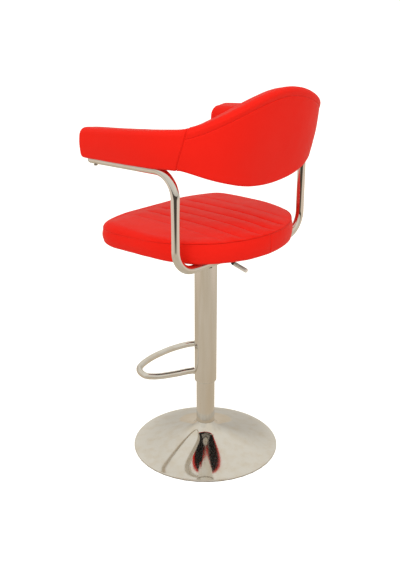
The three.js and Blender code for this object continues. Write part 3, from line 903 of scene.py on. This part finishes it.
def floor_material():
    """White to the camera; to glossy rays it glows with a painted reflection of a beige floor that ends
    in a dim room.
    """
    m = Nodes("floor")
    nodes, links = m.tree.nodes, m.tree.links
    seen = m.add("ShaderNodeLightPath")
    lit = m.add("ShaderNodeBsdfDiffuse", {"Color": rgba(0.75, 0.74, 0.72)}).outputs["BSDF"]
    strength = m.math("MULTIPLY", seen.outputs["Is Camera Ray"], 0.75)
    white = {"Color": rgba(1, 1, 1), "Strength": strength}
    glow = m.add("ShaderNodeEmission", white).outputs["Emission"]
    both = m.add("ShaderNodeAddShader")
    links.new(lit, both.inputs[0])
    links.new(glow, both.inputs[1])
    # Painted reflection for glossy rays: a glowing beige sheet, lighter to the sides and duller far
    # away.
    spot = m.add("ShaderNodeSeparateXYZ", {"Vector": m.place})
    x, y = spot.outputs["X"], spot.outputs["Y"]
    towards = m.math("ADD", m.math("MULTIPLY", x, 0.741), m.math("MULTIPLY", y, 0.672))
    across = m.math("ADD", m.math("MULTIPLY", x, 0.672), m.math("MULTIPLY", y, -0.741))
    reach = m.math("SUBTRACT", towards, m.math("MULTIPLY", m.math("ABSOLUTE", across, 0), 0.35))
    sheet = m.mix(m.remap(across, 0.0, 1.0, -1.5, 1.5), rgba(0.60, 0.53, 0.43), rgba(0.54, 0.44, 0.31))
    sheet = m.mix(m.remap(m.noise(1.6, 3.0), 0.0, 1.0, 0.3, 0.7), sheet, rgba(0.64, 0.56, 0.45))
    sideways = m.remap(m.math("ABSOLUTE", across, 0), 0.0, 1.0, 0.9, 1.9)
    sheet = m.mix(sideways, sheet, rgba(0.80, 0.68, 0.57))
    away = m.add("ShaderNodeVectorMath", {0: m.place}, operation="LENGTH").outputs["Value"]
    sheet = m.mix(m.remap(away, 0.0, 1.0, 3.5, 8.0), sheet, rgba(0.57, 0.54, 0.47))
    # Painted reflection of a dim room: a dark patch towards the camera side.
    room = m.mix(m.remap(reach, 0.0, 1.0, 1.5, 2.3), sheet, rgba(0.07, 0.058, 0.045))
    mirrored = m.add("ShaderNodeEmission", {"Color": room, "Strength": 1.0}).outputs["Emission"]
    blend = m.add("ShaderNodeMixShader", {"Fac": seen.outputs["Is Glossy Ray"]})
    links.new(both.outputs["Shader"], blend.inputs[1])
    links.new(mirrored, blend.inputs[2])
    links.new(blend.outputs["Shader"], nodes["Material Output"].inputs["Surface"])
    nodes.remove(m.shader)
    return m.material


def floor():
    mesh = bpy.data.meshes.new("floor")
    half = 60.0
    corners = [(-half, -half, 0), (half, -half, 0), (half, half, 0), (-half, half, 0)]
    mesh.from_pydata(corners, [], [(0, 1, 2, 3)])
    mesh.materials.append(floor_material())
    obj = bpy.data.objects.new("floor", mesh)
    bpy.context.scene.collection.objects.link(obj)


def softbox(name, location, target, size, power):
    data = bpy.data.lights.new(name, "AREA")
    data.shape = "RECTANGLE"
    data.size, data.size_y = size
    data.energy = power
    obj = bpy.data.objects.new(name, data)
    obj.location = location
    obj.visible_glossy = False
    aim = Vector(target) - Vector(location)
    obj.rotation_mode = "QUATERNION"
    obj.rotation_quaternion = aim.to_track_quat("-Z", "Y")
    bpy.context.scene.collection.objects.link(obj)


def world():
    scene = bpy.context.scene
    scene.world = bpy.data.worlds.new("studio")
    scene.world.use_nodes = True
    tree = scene.world.node_tree
    background = tree.nodes["Background"]
    coord = tree.nodes.new("ShaderNodeTexCoord")
    cloud = tree.nodes.new("ShaderNodeTexNoise")
    cloud.inputs["Scale"].default_value = 1.3
    cloud.inputs["Detail"].default_value = 1.0
    tree.links.new(coord.outputs["Generated"], cloud.inputs["Vector"])
    tone = tree.nodes.new("ShaderNodeMix")
    tone.data_type = "RGBA"
    tone.inputs[6].default_value = rgba(0.34, 0.31, 0.27)
    tone.inputs[7].default_value = rgba(0.80, 0.76, 0.67)
    up = tree.nodes.new("ShaderNodeSeparateXYZ")
    tree.links.new(coord.outputs["Generated"], up.inputs["Vector"])
    blend = tree.nodes.new("ShaderNodeMath")
    blend.operation = "MULTIPLY_ADD"
    blend.inputs[1].default_value = 0.80
    tree.links.new(up.outputs["Z"], blend.inputs[0])
    tree.links.new(cloud.outputs["Fac"], blend.inputs[2])
    tree.links.new(blend.outputs["Value"], tone.inputs["Factor"])
    tree.links.new(tone.outputs[2], background.inputs["Color"])
    background.inputs["Strength"].default_value = 1.0
    scene.view_settings.view_transform = "Standard"


def studio():
    world()
    floor()
    softbox("key", (2.6, 1.2, 2.6), (0, 0, 0.6), (2.2, 2.2), 36)
    softbox("fill", (0.2, 3.2, 2.0), (0, 0, 0.6), (2.0, 2.0), 12)


# ------------------------------------------------------------------ build

camera()
studio()
dress_cad_nodes()
base_dish()
column_tube()
cover_tube()
sweep("arm_frame_tube", arm_frame_route(), FRAME_R, "seat", "chrome", ["arm_frame"], sides=48)
footrest()
lever()
back_and_arms()
seat_cushion()
